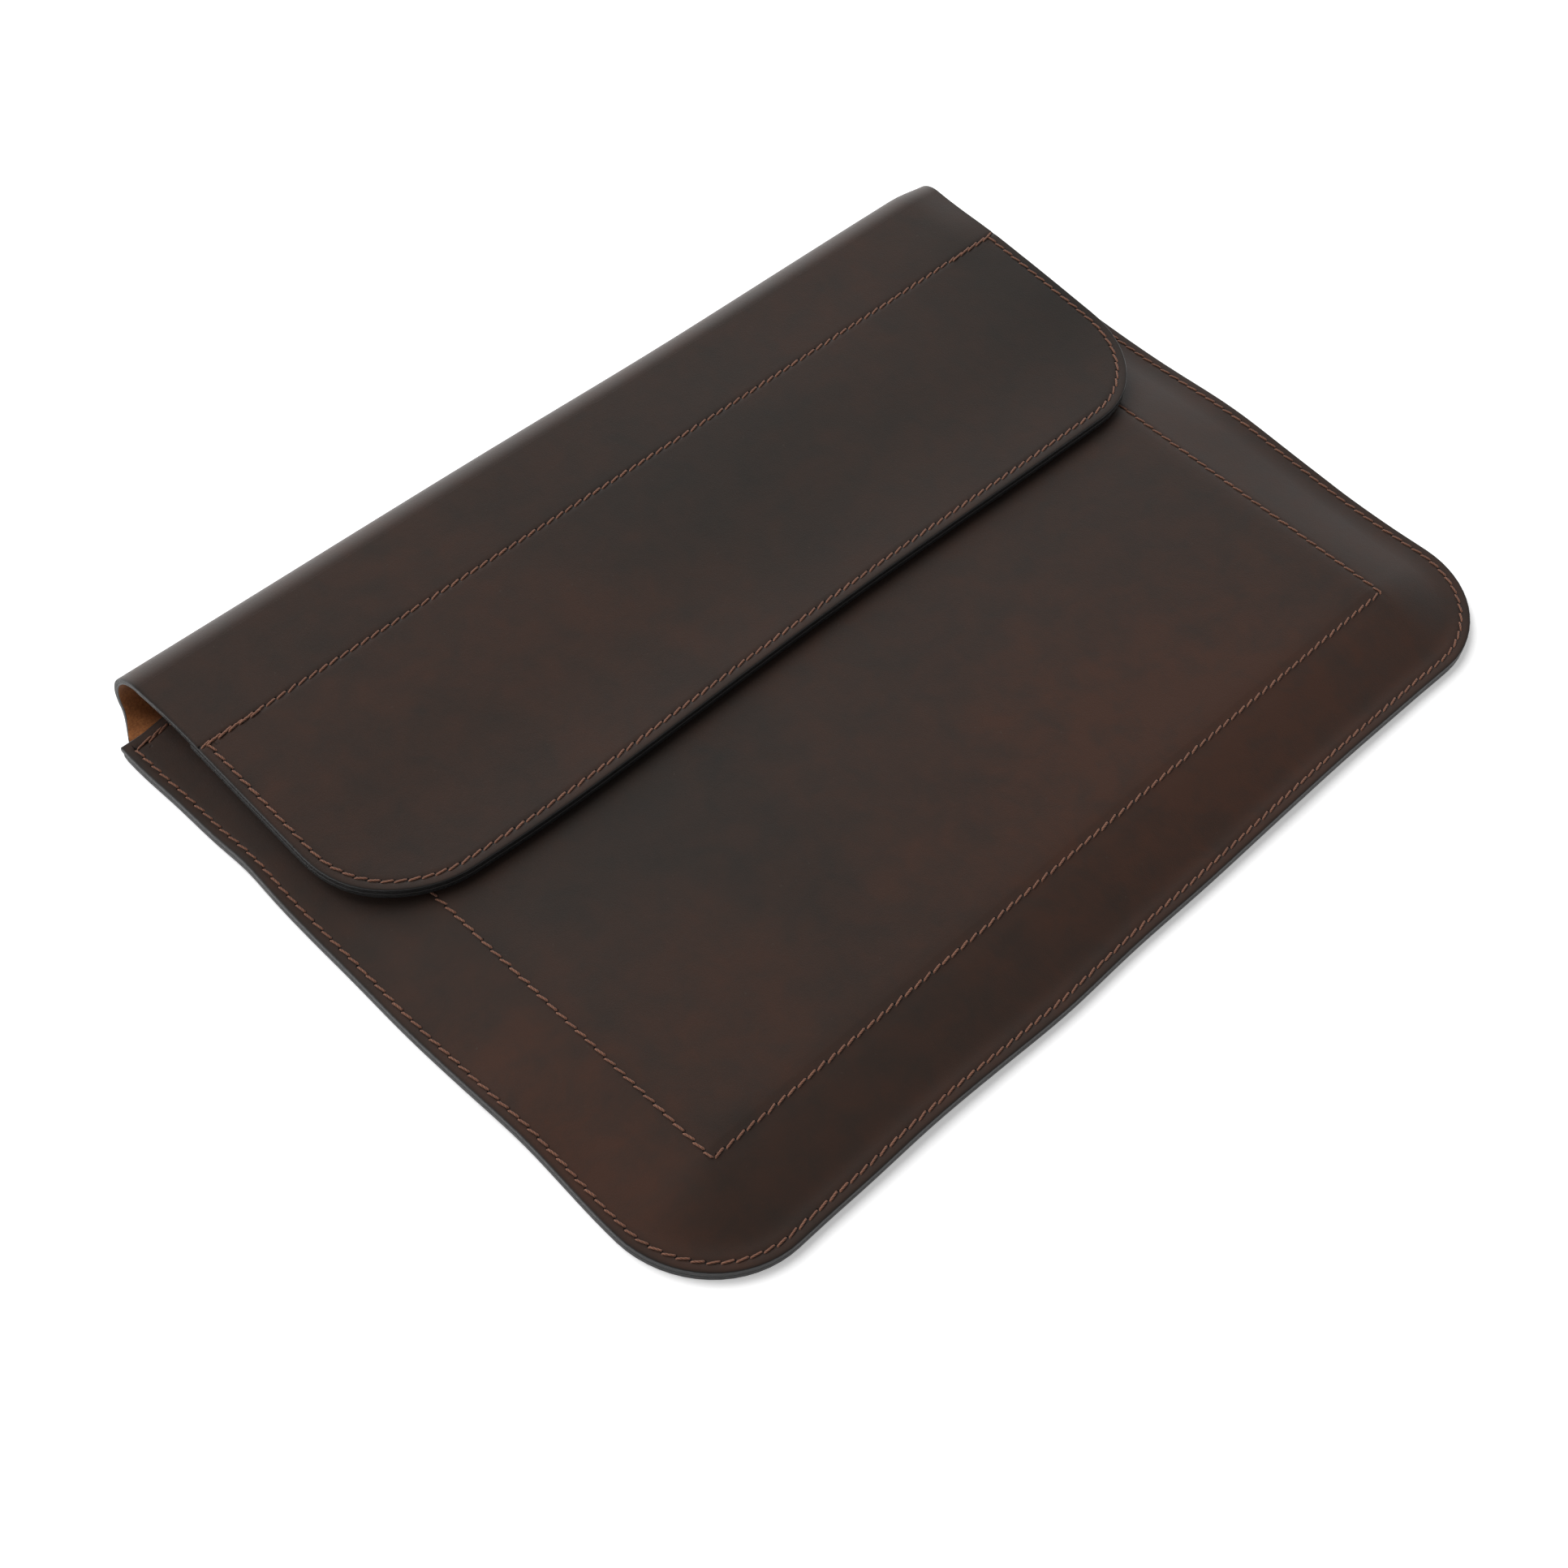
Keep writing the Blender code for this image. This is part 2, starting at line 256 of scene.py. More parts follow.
# ================================================================ seams
class Seam:
    """A row of stitches along a line of the flat pattern, with its groove."""

    def __init__(self, points):
        self.points = np.array(points, float)
        steps = np.linalg.norm(np.diff(self.points, axis=0), axis=1)
        self.along = np.concatenate([[0], np.cumsum(steps)])
        self.count = int(round(self.along[-1] / STITCH))
        self.pitch = self.along[-1] / self.count

    def at(self, along, aside=0.0):
        """The pattern point at a distance along the seam, and aside to its left."""
        x = np.interp(along, self.along, self.points[:, 0])
        s = np.interp(along, self.along, self.points[:, 1])
        ahead = np.clip(along + 0.3, 0, self.along[-1])
        behind = np.clip(along - 0.3, 0, self.along[-1])
        tx = (np.interp(ahead, self.along, self.points[:, 0])
              - np.interp(behind, self.along, self.points[:, 0]))
        ts = (np.interp(ahead, self.along, self.points[:, 1])
              - np.interp(behind, self.along, self.points[:, 1]))
        size = np.hypot(tx, ts)
        return x - aside * ts / size, s + aside * tx / size

    def nearest(self, x, s):
        """Distance along the seam of the nearest point, and the signed distance from it."""
        a, b = self.points[:-1], self.points[1:]
        step = b - a
        length = np.maximum(np.hypot(step[:, 0], step[:, 1]), 1e-9)
        dx, ds = x[:, None] - a[None, :, 0], s[:, None] - a[None, :, 1]
        share = np.clip((dx * step[:, 0] + ds * step[:, 1]) / length**2, 0, 1)
        off_x, off_s = dx - share * step[:, 0], ds - share * step[:, 1]
        distance = np.hypot(off_x, off_s)
        best = np.argmin(distance, axis=1)
        row = np.arange(len(x))
        along = self.along[best] + share[row, best] * length[best]
        side = np.sign(off_s[row, best] * step[best, 0] - off_x[row, best] * step[best, 1])
        return along, distance[row, best] * np.where(side == 0, 1, side)


def rounded_u(half, low, high, radius, flip=None):
    """Points of a U: down the left side from high, round two corners at low, and up the right side."""
    turn = np.linspace(0, math.pi / 2, 19)
    left = np.stack([-(half - radius) - radius * np.cos(turn), low + radius - radius * np.sin(turn)], -1)
    right = left[::-1] * (-1, 1)
    points = np.concatenate([[(-half, high)], left, right, [(half, high)]])
    if flip is not None:
        points[:, 1] = flip - points[:, 1]
    return points


def make_seams():
    inner_x = HALF_WIDTH - LINING_SEAM_SIDE
    flap_half = float(half_width(S_FRONT)) - FLAP_SEAM
    edge = float(half_width(S_CROSS)) - 0.6
    return {
        "perimeter": Seam(rounded_u(HALF_WIDTH - SEAM_INSET, SEAM_INSET, S_MOUTH - MOUTH_SEAM,
                                    CORNER_RADIUS - SEAM_INSET)),
        "mouth": Seam([(-HALF_WIDTH + SEAM_INSET, S_MOUTH - MOUTH_SEAM),
                       (HALF_WIDTH - SEAM_INSET, S_MOUTH - MOUTH_SEAM)]),
        "lining": Seam([(-inner_x, S_MOUTH - MOUTH_SEAM), (-inner_x, LINING_SEAM_BOTTOM),
                        (inner_x, LINING_SEAM_BOTTOM), (inner_x, S_MOUTH - MOUTH_SEAM)]),
        "flap": Seam(rounded_u(flap_half, FLAP_SEAM, S_FRONT - S_CROSS, FLAP_RADIUS - FLAP_SEAM,
                               flip=S_FRONT)),
        "cross": Seam([(-edge, S_CROSS), (edge, S_CROSS)]),
    }


SEAMS = make_seams()
GROOVE = 0.16                   # how deep a seam is pulled in
GROOVE_WIDTH = 0.85
SECOND_PASS = {"aside": 0.36, "lift": 0.22}     # a row sewn over again lies beside the first and on it


def seam_fields(x, s, names):
    """For pattern points: position along the nearest seam in stitches, and signed distance from it."""
    phase, off = np.zeros(len(x)), np.full(len(x), 99.0)
    for name in names:
        along, distance = SEAMS[name].nearest(x, s)
        closer = np.abs(distance) < np.abs(off)
        phase = np.where(closer, along / SEAMS[name].pitch, phase)
        off = np.where(closer, distance, off)
    return phase, off


# ================================================================ flat patterns
class Pattern:
    """A flat piece of leather as a mesh: points, faces, its outline, and what is cut through."""

    def __init__(self, points, inset, faces, loop, cut):
        self.points, self.inset, self.faces = points, inset, faces
        self.loop, self.cut = loop, cut


CORE = 120.0
CORE_COLUMNS = 61
PLAIN_SIDE = tuple(np.linspace(0, 1, 13)[1:])


def column_positions(half, side):
    outer = CORE + (half - CORE) * np.array(side)
    core = np.linspace(-CORE, CORE, CORE_COLUMNS)
    return np.concatenate([-outer[::-1], core, outer])


def stitch_rows(centre):
    """Rows close together across a seam."""
    return [centre + d for d in (-2.4, -1.6, -1.1, -0.75, -0.4, 0, 0.4, 0.75, 1.1, 1.6, 2.4)]


def edge_rows(edge):
    """Rows close together up to a free edge."""
    return [edge - d for d in RING_INSETS[1:]]


def fill_rows(start, stop, fixed, step=4.0):
    """Sorted rows from start to stop that keep the fixed ones and leave no gap wider than step."""
    fixed = sorted({round(f, 4) for f in list(fixed) + [start, stop] if start - 1e-6 <= f <= stop + 1e-6})
    rows = [fixed[0]]
    for value in fixed[1:]:
        gap = value - rows[-1]
        if gap < 0.02:
            continue
        parts = max(1, math.ceil(gap / step))
        rows += [rows[-1] + gap * (k + 1) / parts for k in range(parts)]
    return rows


def u_pattern(width, radius, rows, side=PLAIN_SIDE, flip=None, end_cut=True):
    """A piece with two rounded corners at its low end. width(t) is its half-width at distance t from
    that end, rows the distances beyond the corners. flip turns it round, for the flap."""
    corner = radius - (radius - INNER) * np.cos(np.linspace(0, math.pi / 2, 17))
    distances = np.concatenate([corner, rows])
    half = np.asarray(width(distances), float)
    base = float(width(radius))
    down = np.clip(radius - distances, 0, radius - INNER)
    inner_half = np.where(distances < radius,
                          base - radius + np.sqrt(np.maximum((radius - INNER) ** 2 - down**2, 0)),
                          half - INNER)
    grid_x = np.stack([column_positions(h, side) for h in inner_half])
    m, n = grid_x.shape
    grid = np.stack([grid_x, np.repeat(distances[:, None], n, 1)], -1)
    index = np.arange(m * n).reshape(m, n)

    # the line round the inner grid: down the left side, along the end, up the right side
    around = np.concatenate([index[::-1, 0], index[0, 1:-1], index[:, -1]])
    angle = np.arccos(np.clip(down / (radius - INNER), -1, 1))
    sx = np.where(distances < radius, np.sin(angle), 1.0)
    st = np.where(distances < radius, -np.cos(angle), 0.0)
    out_x = np.concatenate([-sx[::-1], np.zeros(n - 2), sx])
    out_t = np.concatenate([st[::-1], -np.ones(n - 2), st])
    base_points = grid.reshape(-1, 2)[around]
    points, insets, lines = [grid.reshape(-1, 2)], [np.full(m * n, INNER)], [around]
    for inset in RING_INSETS[1:]:
        move = INNER - inset
        ring = base_points + np.stack([out_x * move, out_t * move], -1)
        lines.append(sum(len(p) for p in points) + np.arange(len(around)))
        points.append(ring)
        insets.append(np.full(len(around), inset))
    points, insets = np.concatenate(points), np.concatenate(insets)

    a, b = index[:-1, :-1].ravel(), index[:-1, 1:].ravel()
    c, d = index[1:, 1:].ravel(), index[1:, :-1].ravel()
    faces = [np.stack([a, b, c, d], -1)]
    for inner, outer in zip(lines[:-1], lines[1:]):
        faces.append(np.stack([inner[:-1], outer[:-1], outer[1:], inner[1:]], -1))
    faces = np.concatenate(faces)

    top = [line[-1] for line in lines[::-1]] + list(index[-1, ::-1][1:-1]) + [line[0] for line in lines]
    loop = np.array(list(lines[-1]) + top[1:-1])
    cut = np.zeros(len(loop), bool)
    if end_cut:
        cut[len(lines[-1]) - 1:] = True
    else:
        to_end = distances[-1] - points[:, 1]
        insets = np.minimum(insets, np.maximum(to_end, 0))
    if flip is not None:
        points[:, 1] = flip - points[:, 1]
    return Pattern(points, insets, faces, loop, cut)


def band_pattern(rows):
    """A band between two cuts, with two free sides."""
    lines = []
    sides = [INNER - r for r in RING_INSETS[1:]]
    for s in rows:
        half = float(half_width(s))
        inner = column_positions(half - INNER, PLAIN_SIDE)
        right = [half - INNER + d for d in sides]
        x = np.concatenate([-np.array(right[::-1]), inner, right])
        lines.append(np.stack([x, np.full(len(x), s)], -1))
    grid = np.stack(lines)
    m, n = grid.shape[:2]
    rings = np.array(RING_INSETS[1:])
    inset = np.concatenate([rings[::-1], np.full(n - 2 * len(rings), INNER), rings])
    index = np.arange(m * n).reshape(m, n)
    faces = np.stack([index[:-1, :-1].ravel(), index[:-1, 1:].ravel(),
                      index[1:, 1:].ravel(), index[1:, :-1].ravel()], -1)
    loop = np.concatenate([index[0, :], index[1:, -1], index[-1, :-1][::-1], index[1:-1, 0][::-1]])
    cut = np.zeros(len(loop), bool)
    cut[:n - 1] = True
    cut[n - 1 + m - 1:n - 1 + m - 1 + n - 1] = True
    return Pattern(grid.reshape(-1, 2), np.tile(inset, m), faces, loop, cut)


def sheet_pattern(half, low, high):
    """A plain rectangle, for the lining."""
    fine = [0.0, 0.1, 0.25, 0.6, 1.5, 4.0]
    xs = fill_rows(-half, half, [-half + f for f in fine] + [half - f for f in fine], 6.0)
    ss = fill_rows(low, high, [low + f for f in fine] + [high - f for f in fine], 6.0)
    x, s = np.meshgrid(xs, ss)
    m, n = x.shape
    index = np.arange(m * n).reshape(m, n)
    faces = np.stack([index[:-1, :-1].ravel(), index[:-1, 1:].ravel(),
                      index[1:, 1:].ravel(), index[1:, :-1].ravel()], -1)
    loop = np.concatenate([index[0, :], index[1:, -1], index[-1, :-1][::-1], index[1:-1, 0][::-1]])
    inset = np.minimum(np.minimum(x + half, half - x), np.minimum(s - low, high - s)).ravel()
    return Pattern(np.stack([x.ravel(), s.ravel()], -1), inset, faces, loop, np.zeros(len(loop), bool))


# ================================================================ meshes
INSIDE, OUTSIDE, EDGE = 0, 1, 2


def build_mesh(name, points, faces, materials, face_material=None, flat_faces=None, fields=None):
    """A mesh object from points in millimetres, with its point attributes."""
    mesh = bpy.data.meshes.new(name)
    mesh.from_pydata((np.asarray(points) * MM).tolist(), [], [list(map(int, f)) for f in faces])
    for material in materials:
        mesh.materials.append(material)
    if face_material is not None:
        mesh.polygons.foreach_set("material_index", np.asarray(face_material, np.int32))
    keep_smooth = np.ones(len(mesh.polygons), bool)
    if flat_faces is not None:
        keep_smooth &= ~np.asarray(flat_faces, bool)
    mesh.polygons.foreach_set("use_smooth", keep_smooth)
    for field, values in (fields or {}).items():
        values = np.asarray(values, np.float32)
        kind = "FLOAT" if values.ndim == 1 else "FLOAT_VECTOR"
        layer = mesh.attributes.new(field, kind, "POINT")
        layer.data.foreach_set("value" if values.ndim == 1 else "vector", values.ravel())
    mesh.update()
    mesh.validate()
    made = bpy.data.objects.new(name, mesh)
    bpy.context.scene.collection.objects.link(made)
    return made


def rounding(inset, radius):
    """How far a face falls away towards a free edge of that rounding."""
    return radius - np.sqrt(np.maximum(radius**2 - np.maximum(radius - inset, 0) ** 2, 0))


def volume_sign(points, faces):
    a, b, c, d = (points[faces[:, k]] for k in range(4))
    middle = points.mean(0)
    total = np.einsum("ij,ij->i", np.cross(a - middle, b - middle), c - middle)
    total = total + np.einsum("ij,ij->i", np.cross(a - middle, c - middle), d - middle)
    return 1 if total.sum() > 0 else -1


def leather_piece(name, pattern, place, materials, seams=(), thickness=LEATHER, rounds=(0.42, 0.42),
                  grooves=(1.0, 1.0), layer=0.0):
    """A closed piece of leather from its flat pattern. place(x, s, height) gives its shape; rounds and
    grooves are for its inside and outside faces."""
    x, s = pattern.points[:, 0], pattern.points[:, 1]
    count = len(x)
    phase, off = seam_fields(x, s, seams) if seams else (np.zeros(count), np.full(count, 99.0))
    groove = GROOVE * np.exp(-((off / GROOVE_WIDTH) ** 2))
    inside = thickness / 2 - rounding(pattern.inset, rounds[0]) - groove * grooves[0]
    outside = thickness / 2 - rounding(pattern.inset, rounds[1]) - groove * grooves[1]
    loop = pattern.loop
    points = np.concatenate([place(x, s, inside), place(x, s, -outside), place(x[loop], s[loop], 0.0)])
    ring = 2 * count + np.arange(len(loop))
    following = np.roll(loop, -1)
    ring_next = np.roll(ring, -1)
    walls_up = np.stack([loop, ring, ring_next, following], -1)
    walls_down = np.stack([ring, loop + count, following + count, ring_next], -1)
    faces = np.concatenate([pattern.faces, pattern.faces[:, ::-1] + count, walls_up, walls_down])
    near_edge = pattern.inset[pattern.faces].mean(1) < 0.3
    kind = np.concatenate([np.where(near_edge, EDGE, INSIDE), np.where(near_edge, EDGE, OUTSIDE),
                           np.full(2 * len(loop), EDGE)])
    caps = np.concatenate([np.zeros(2 * len(pattern.faces), bool), pattern.cut, pattern.cut])
    # walls run the other way round if the outline does
    if volume_sign(points, faces) < 0:
        faces = faces[:, ::-1]
    flat = np.stack([x, s, np.full(count, layer)], -1) * MM
    fields = {
        "flat": np.concatenate([flat, flat + (0, 0, OUTSIDE_LEVEL * MM),
                                flat[loop] + (0, 0, OUTSIDE_LEVEL / 2 * MM)]),
        "stitch": np.concatenate([phase, phase, phase[loop]]),
        "off_seam": np.concatenate([off, off, off[loop]]),
        "from_seam": np.abs(np.concatenate([off, off, off[loop]])),
        "inset": np.concatenate([pattern.inset, pattern.inset, pattern.inset[loop]]),
    }
    return build_mesh(name, points, faces, materials, kind, caps, fields)


RANDOM = np.random.default_rng(7)
THREAD = 0.31                   # radius of the thread


def surface_frame(place, seam, along, aside, height, face):
    """Points on a surface beside a seam, with the directions along, across and out of it."""
    x, s = seam.at(along, aside)
    point = place(x, s, height)
    step = 0.05
    span_x = place(x + step, s, height) - place(x - step, s, height)
    span_s = place(x, s + step, height) - place(x, s - step, height)
    out = np.cross(span_x, span_s)
    out /= np.linalg.norm(out, axis=-1, keepdims=True)
    towards = place(x, s, height + step) - point
    out *= np.sign(np.einsum("...i,...i->...", out, towards))[..., None] * face
    x_ahead, s_ahead = seam.at(along + 0.1, aside)
    ahead = place(x_ahead, s_ahead, height) - point
    ahead /= np.maximum(np.linalg.norm(ahead, axis=-1, keepdims=True), 1e-9)
    return point, np.cross(out, ahead), out


def stitch_tubes(place, seam, face, surface, slant=0.21, starts=None, aside=0.0, lift=0.0, pitch=None):
    """Twisted stitches of one row. face is 1 on the side of positive height and -1 on the other;
    surface is the leather's height there."""
    pitch = pitch or seam.pitch
    centres = (np.arange(seam.count) + 0.5) * pitch if starts is None else np.asarray(starts, float)
    count, rings, sides = len(centres), 12, 12
    t = np.linspace(-0.5, 0.5, rings)
    tilt = slant + RANDOM.normal(0, 0.035, count)
    shift = RANDOM.normal(0, 0.05, count)
    along = centres[:, None] + RANDOM.normal(0, 0.06, count)[:, None] + t * pitch * 1.04
    sideways = aside + shift[:, None] + tilt[:, None] * t * pitch
    sink = np.abs(2 * t) ** 5
    height = face * (surface - GROOVE * 0.9 + THREAD * 0.62 + lift - sink * THREAD * 1.5)
    height = np.broadcast_to(height, along.shape)
    point, across, out = surface_frame(place, seam, along, sideways, height, face)
    angle = np.linspace(0, 2 * math.pi, sides, endpoint=False)
    twist = RANDOM.uniform(0, 2 * math.pi, count)[:, None, None] + t[None, :, None] * 2.4 * math.pi
    lobes = np.cos(3 * (angle[None, None, :] - twist))
    thick = THREAD * (1 + RANDOM.normal(0, 0.05, count))[:, None, None]
    radius = thick * (1 - 0.35 * (np.abs(2 * t) ** 6)[None, :, None]) * (0.94 + 0.12 * lobes)
    ring = (point[:, :, None, :] + radius[..., None] * (
        np.cos(angle)[None, None, :, None] * across[:, :, None, :] * 1.12
        + np.sin(angle)[None, None, :, None] * out[:, :, None, :] * 0.88))
    per = rings * sides + 2
    points = np.zeros((count, per, 3))
    points[:, :rings * sides] = ring.reshape(count, -1, 3)
    points[:, -2], points[:, -1] = point[:, 0], point[:, -1]
    cell = np.arange(rings * sides).reshape(rings, sides)
    right = np.roll(cell, -1, 1)
    quads = np.stack([cell[:-1].ravel(), right[:-1].ravel(), right[1:].ravel(), cell[1:].ravel()], -1)
    fans = [(per - 2, right[0, k], cell[0, k]) for k in range(sides)]
    fans += [(per - 1, cell[-1, k], right[-1, k]) for k in range(sides)]
    # strand: how high each point stands on the twisted strands, which the thread's colour uses for painted
    # shade between them
    strand = np.concatenate([np.broadcast_to(lobes, (count, rings, sides)).reshape(count, -1),
                             np.zeros((count, 2))], 1)
    tone = np.repeat(RANDOM.uniform(0, 1, count)[:, None], per, 1)
    return points, quads, fans, strand, tone


def thread_piece(name, rows, material):
    """All the stitches of one thread, as one object. rows are the results of stitch_tubes."""
    points, faces, strand, tone, start = [], [], [], [], 0
    for row_points, quads, fans, row_strand, row_tone in rows:
        for _ in range(len(row_points)):
            faces += (quads + start).tolist()
            faces += [[v + start for v in f] for f in fans]
            start += row_points.shape[1]
        points.append(row_points.reshape(-1, 3))
        strand.append(row_strand.ravel())
        tone.append(row_tone.ravel())
    made = build_mesh(name, np.concatenate(points), faces, [material],
                      fields={"strand": np.concatenate(strand), "tone": np.concatenate(tone)})
    return made


def magnet_disc(name, x, y, z, radius, thickness, material):
    """A flat magnet with a small chamfer, hidden between two layers."""
    outline = [(0, 0), (radius - 0.15, 0), (radius, 0.15), (radius, thickness - 0.15),
               (radius - 0.15, thickness), (0, thickness)]
    sides = 48
    points, faces = [(0, 0, 0)], []
    for r, h in outline[1:-1]:
        points += [(r * math.cos(2 * math.pi * k / sides), r * math.sin(2 * math.pi * k / sides), h)
                   for k in range(sides)]
    points.append((0, 0, thickness))
    last = len(points) - 1
    for k in range(sides):
        after = (k + 1) % sides
        faces.append((0, 1 + after, 1 + k))
        for level in range(3):
            low, high = 1 + level * sides, 1 + (level + 1) * sides
            faces.append((low + k, low + after, high + after, high + k))
        faces.append((last, 1 + 3 * sides + k, 1 + 3 * sides + after))
    placed = np.array(points, float) + (x, y, z)
    flat = np.ones(len(faces), bool)
    return build_mesh(name, placed, faces, [material], flat_faces=flat)


# ================================================================ materials
class Nodes:
    """Short names for building a material's nodes."""

    def __init__(self, name, roughness, specular=0.5):
        self.material = bpy.data.materials.new(name)
        self.material.use_nodes = True
        self.tree = self.material.node_tree
        self.shader = self.tree.nodes["Principled BSDF"]
        self.shader.inputs["Roughness"].default_value = roughness
        self.shader.inputs["Specular IOR Level"].default_value = specular

    def node(self, kind, settings=None, **inputs):
        made = self.tree.nodes.new(kind)
        for key, value in (settings or {}).items():
            setattr(made, key, value)
        for key, value in inputs.items():
            socket = made.inputs[int(key[1:])] if key[0] == "i" and key[1:].isdigit() else made.inputs[key]
            self.put(socket, value)
        return made

    def put(self, socket, value):
        if isinstance(value, bpy.types.NodeSocket):
            self.tree.links.new(value, socket)
        else:
            socket.default_value = value

    def field(self, name, vector=False):
        node = self.node("ShaderNodeAttribute", {"attribute_name": name})
        return node.outputs["Vector" if vector else "Fac"]

    def math(self, operation, a, b=0.0, c=0.0):
        return self.node("ShaderNodeMath", {"operation": operation}, i0=a, i1=b, i2=c).outputs[0]

    def noise(self, vector, scale, detail=2.0, rough=0.5, distort=0.0):
        node = self.node("ShaderNodeTexNoise", Vector=vector, Scale=scale, Detail=detail,
                         Roughness=rough, Distortion=distort)
        return node.outputs["Fac"]

    def cells(self, vector, scale, feature="F1"):
        node = self.node("ShaderNodeTexVoronoi", {"feature": feature}, Vector=vector, Scale=scale)
        return node.outputs["Distance"]

    def stretch(self, vector, scale):
        return self.node("ShaderNodeMapping", Vector=vector, Scale=scale).outputs[0]

    def ramp(self, value, low, high, to_low=0.0, to_high=1.0):
        node = self.node("ShaderNodeMapRange", {"interpolation_type": "SMOOTHSTEP"}, i0=value, i1=low,
                         i2=high, i3=to_low, i4=to_high)
        return node.outputs[0]

    def mix(self, share, a, b):
        node = self.node("ShaderNodeMix", {"data_type": "RGBA"})
        self.put(node.inputs[0], share)
        self.put(node.inputs[6], a)
        self.put(node.inputs[7], b)
        return node.outputs[2]

    def bump(self, height, depth, normal=None):
        """Bump of that depth in millimetres, over another bump if there is one."""
        node = self.node("ShaderNodeBump", Strength=1.0, Distance=depth * MM, Height=height)
        if normal is not None:
            self.put(node.inputs["Normal"], normal)
        return node.outputs[0]

    def finish(self, color, roughness=None, normal=None, **constant):
        self.put(self.shader.inputs["Base Color"], color)
        if roughness is not None:
            self.put(self.shader.inputs["Roughness"], roughness)
        if normal is not None:
            self.put(self.shader.inputs["Normal"], normal)
        for key, value in constant.items():
            self.shader.inputs[key.replace("_", " ")].default_value = value
        return self.material


def awl_holes(n):
    """Slanted dents where the thread goes down between two stitches, from 0 to 1."""
    phase, off = n.field("stitch"), n.field("off_seam")
    centred = n.math("SUBTRACT", n.math("FRACT", n.math("ADD", phase, 0.5)), 0.5)
    along = n.math("MULTIPLY", centred, STITCH)
    lean = n.math("ADD", along, n.math("MULTIPLY", off, 0.35))
    far = n.math("ADD", n.math("POWER", n.math("DIVIDE", lean, 0.40), 2.0),
                 n.math("POWER", n.math("DIVIDE", off, 0.55), 2.0))
    here = n.ramp(n.field("from_seam"), 1.3, 2.2, 1.0, 0.0)
    return n.math("MULTIPLY", n.ramp(far, 0.2, 1.6, 1.0, 0.0), here)


def blob(n, flat, centre, size):
    """1 at a spot of the flat pattern and 0 beyond an oval of that size round it, in millimetres."""
    off = n.node("ShaderNodeVectorMath", {"operation": "SUBTRACT"}, i0=flat, i1=[c * MM for c in centre])
    scaled = n.stretch(off.outputs[0], [1 / (s * MM) for s in size])
    length = n.node("ShaderNodeVectorMath", {"operation": "LENGTH"}, i0=scaled)
    return n.ramp(length.outputs["Value"], 0.0, 1.0, 1.0, 0.0)


def leather_material(name, brown, dark, red, roughness, warm_spots=()):
    """Smooth dyed leather: cloudy tone with redder patches, fine pores, specks, and painted shade in the
    seam grooves and awl holes.
    """
    n = Nodes(name, roughness, 0.32)
    flat = n.field("flat", vector=True)
    clouds = n.noise(flat, 13.0, 3.0, 0.6, 0.5)
    mottle = n.noise(flat, 95.0, 4.0, 0.62, 0.3)
    pores = n.cells(flat, 2300.0)
    fine = n.noise(flat, 1500.0, 3.0, 0.6)
    color = n.mix(n.ramp(clouds, 0.30, 0.72), dark, brown)
    warm = n.math("MULTIPLY", n.ramp(n.field("inset"), 0.0, 34.0, 1.0, 0.0), 0.35)
    warm = n.math("ADD", warm, n.math("MULTIPLY", n.ramp(clouds, 0.42, 0.75), 0.30))
    for centre, size, amount in warm_spots:
        warm = n.math("ADD", warm, n.math("MULTIPLY", blob(n, flat, centre, size), amount))
    contrast = n.math("ADD", n.math("MULTIPLY", warm, 1.6), 0.4)
    patchy = n.math("MULTIPLY", n.math("SUBTRACT", mottle, 0.5), contrast)
    warm = n.node("ShaderNodeClamp", Value=n.math("ADD", warm, patchy)).outputs[0]
    color = n.mix(warm, color, red)
    specks = n.ramp(n.noise(flat, 620.0, 1.0, 0.5), 0.75, 0.82, 0.0, 0.3)
    color = n.mix(specks, color, tuple(2.2 * c for c in brown[:3]) + (1.0,))
    worn = n.ramp(n.field("inset"), 0.2, 1.3, 0.5, 0.0)
    color = n.mix(worn, color, (0.010, 0.009, 0.008, 1.0))
    # painted shade: the leather is coloured darker in the seam groove, where shade falls
    groove = n.ramp(n.field("from_seam"), 0.2, 1.2, 0.16, 0.0)
    color = n.mix(groove, color, tuple(0.5 * c for c in dark[:3]) + (1.0,))
    holes = awl_holes(n)
    # painted shade: the awl holes, which are only a bump dent, are coloured almost black
    color = n.mix(n.math("MULTIPLY", holes, 0.95), color, (0.003, 0.002, 0.002, 1.0))
    rough = n.math("ADD", n.math("MULTIPLY", mottle, 0.10), roughness - 0.05)
    creases = n.noise(flat, 210.0, 3.0, 0.6, 0.5)
    normal = n.bump(creases, 0.030)
    normal = n.bump(pores, 0.014, normal)
    normal = n.bump(fine, 0.012, normal)
    normal = n.bump(n.math("MULTIPLY", holes, -1.0), 0.40, normal)
    return n.finish(color, rough, normal)


def edge_material(name):
    """Leather edges painted black: lumpy and glossy, with fibres showing where the paint is thin."""
    n = Nodes(name, 0.38, 0.5)
    flat = n.field("flat", vector=True)
    grain = n.noise(flat, 1100.0, 4.0, 0.65)
    lumps = n.noise(flat, 330.0, 3.0, 0.6)
    worn_through = n.ramp(grain, 0.58, 0.78, 0.0, 0.7)
    color = n.mix(worn_through, (0.0065, 0.0062, 0.0062, 1.0), (0.042, 0.037, 0.035, 1.0))
    rough = n.math("ADD", n.math("MULTIPLY", lumps, 0.45), 0.16)
    normal = n.bump(lumps, 0.22)
    normal = n.bump(grain, 0.10, normal)
    return n.finish(color, rough, normal)


